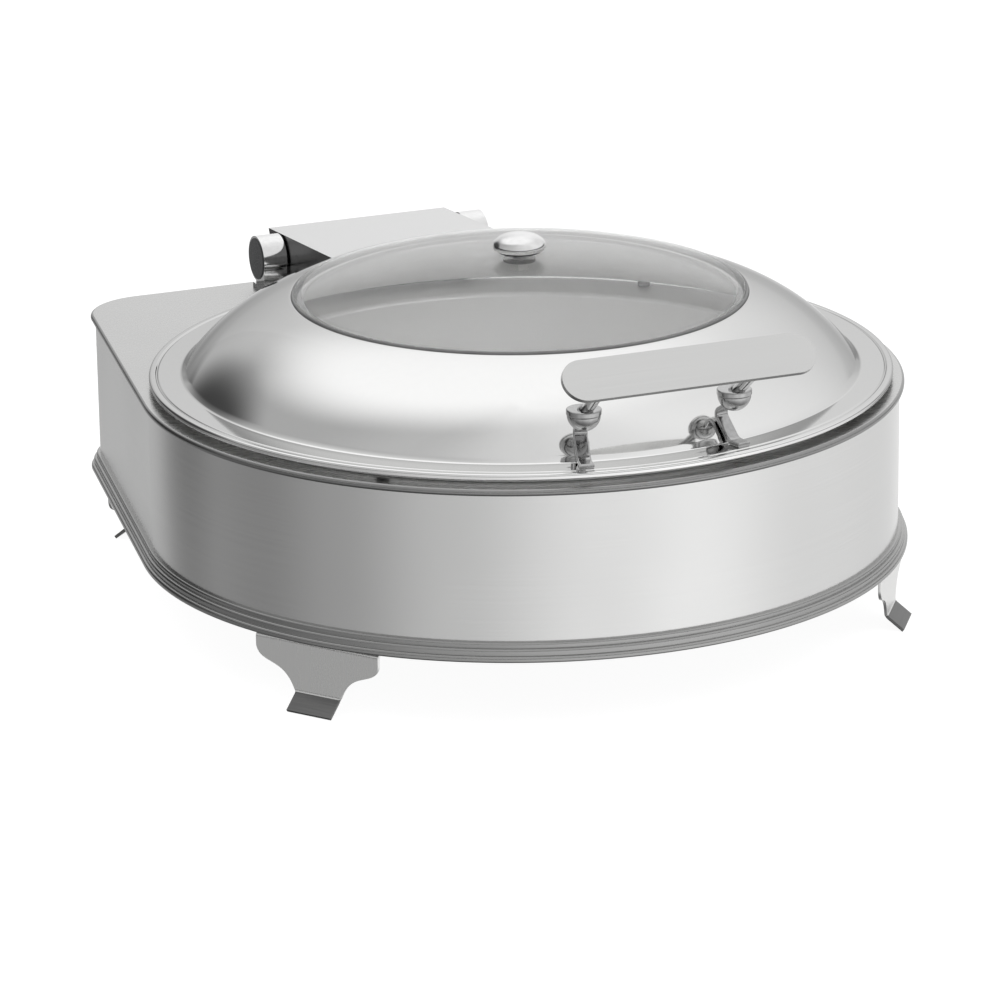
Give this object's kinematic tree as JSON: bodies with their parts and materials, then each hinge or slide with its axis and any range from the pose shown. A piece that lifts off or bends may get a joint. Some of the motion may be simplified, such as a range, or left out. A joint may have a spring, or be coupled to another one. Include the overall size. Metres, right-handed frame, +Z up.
{
  "type": "roll top chafer",
  "caption": "Round roll top chafer: domed lid with a glass window on a rear hinge, front handle, food pan over a heated water pan, and a steel housing on bent feet.",
  "frame": {"origin": "on the table, under the middle of the part's box", "axes": "+Z up; the handle is at -Y, the hinge and the mains inlet at +Y; +X is to the right seen from the front"},
  "size_m": [0.4758, 0.5454, 0.2365],
  "materials": {
    "brushed_steel": "brushed stainless sheet",
    "polished_steel": "mirror-polished stainless",
    "satin_steel": "satin stainless",
    "window_glass": "clear tempered glass",
    "dark_silicone": "matt silicone",
    "dark_cap": "matt dark plastic",
    "black_plastic": "black moulded plastic",
    "amber_lens": "clear amber plastic",
    "plated_steel": "zinc-plated steel",
    "spring_steel": "oiled spring steel",
    "element_sheath": "dark oxidised sheath",
    "spreader_aluminium": "plain aluminium",
    "bush_plastic": "natural acetal",
    "brass_contacts": "tinned brass"
  },
  "bodies": {
    "base": {"skirt": "brushed_steel", "top_deck": "brushed_steel", "base_tray": "brushed_steel", "foot_front_left": "brushed_steel", "foot_front_right": "brushed_steel", "foot_rear_left": "brushed_steel", "foot_rear_right": "brushed_steel", "foot_screws": "plated_steel", "foot_nuts": "plated_steel", "water_pan": "satin_steel", "lid_rest_pads": "dark_silicone", "heat_spreader": "spreader_aluminium", "heating_element": "element_sheath", "element_terminals": "brass_contacts", "heater_studs": "plated_steel", "heater_clamp": "plated_steel", "heater_nuts": "plated_steel", "thermal_cutout": "plated_steel", "control_panel": "satin_steel", "panel_screws": "plated_steel", "thermostat_body": "black_plastic", "switch_body": "black_plastic", "lamp_bezel": "black_plastic", "lamp_lens": "amber_lens", "inlet_socket": "black_plastic", "inlet_pins": "brass_contacts", "hinge_post_left": "polished_steel", "hinge_post_right": "polished_steel", "pivot_cap_left": "dark_cap", "pivot_cap_right": "dark_cap", "post_screws": "plated_steel", "pivot_shaft": "plated_steel", "shaft_clips": "plated_steel"},
    "food_pan": {"food_pan": "satin_steel"},
    "lid": {"lid_shell": "polished_steel", "window_gasket": "dark_silicone", "window_glass": "window_glass", "knob_washers": "dark_silicone", "window_knob": "polished_steel", "knob_nut": "plated_steel", "lid_screws": "plated_steel", "handle_leg_left": "polished_steel", "handle_leg_right": "polished_steel", "handle_collars": "polished_steel", "handle_plate": "polished_steel", "handle_neck_left": "polished_steel", "handle_neck_right": "polished_steel", "hinge_arm_left": "plated_steel", "hinge_arm_right": "plated_steel", "hinge_bushes": "bush_plastic", "counterbalance_spring": "spring_steel", "hinge_cover": "satin_steel"},
    "thermostat_dial": {"thermostat_knob": "black_plastic", "thermostat_shaft": "plated_steel"},
    "switch_rocker": {"switch_rocker": "black_plastic"}
  },
  "joints": [
    {"name": "lid_hinge", "type": "hinge", "parent": "base", "child": "lid", "pos_m": [0, 0.23945, 0.1675], "axis": [-1, 0, 0], "range_deg": [0, 78]},
    {"name": "food_pan_lift", "type": "slide", "parent": "base", "child": "food_pan", "axis": [0, 0, 1], "range_m": [0, 0.01]},
    {"name": "thermostat_turn", "type": "hinge", "parent": "base", "child": "thermostat_dial", "pos_m": [-0.052, 0.25845, 0.099], "axis": [0, -1, 0], "range_deg": [0, 270]},
    {"name": "switch_rock", "type": "hinge", "parent": "base", "child": "switch_rocker", "pos_m": [0.022, 0.25745, 0.099], "axis": [1, 0, 0], "range_deg": [0, 16]}
  ]
}
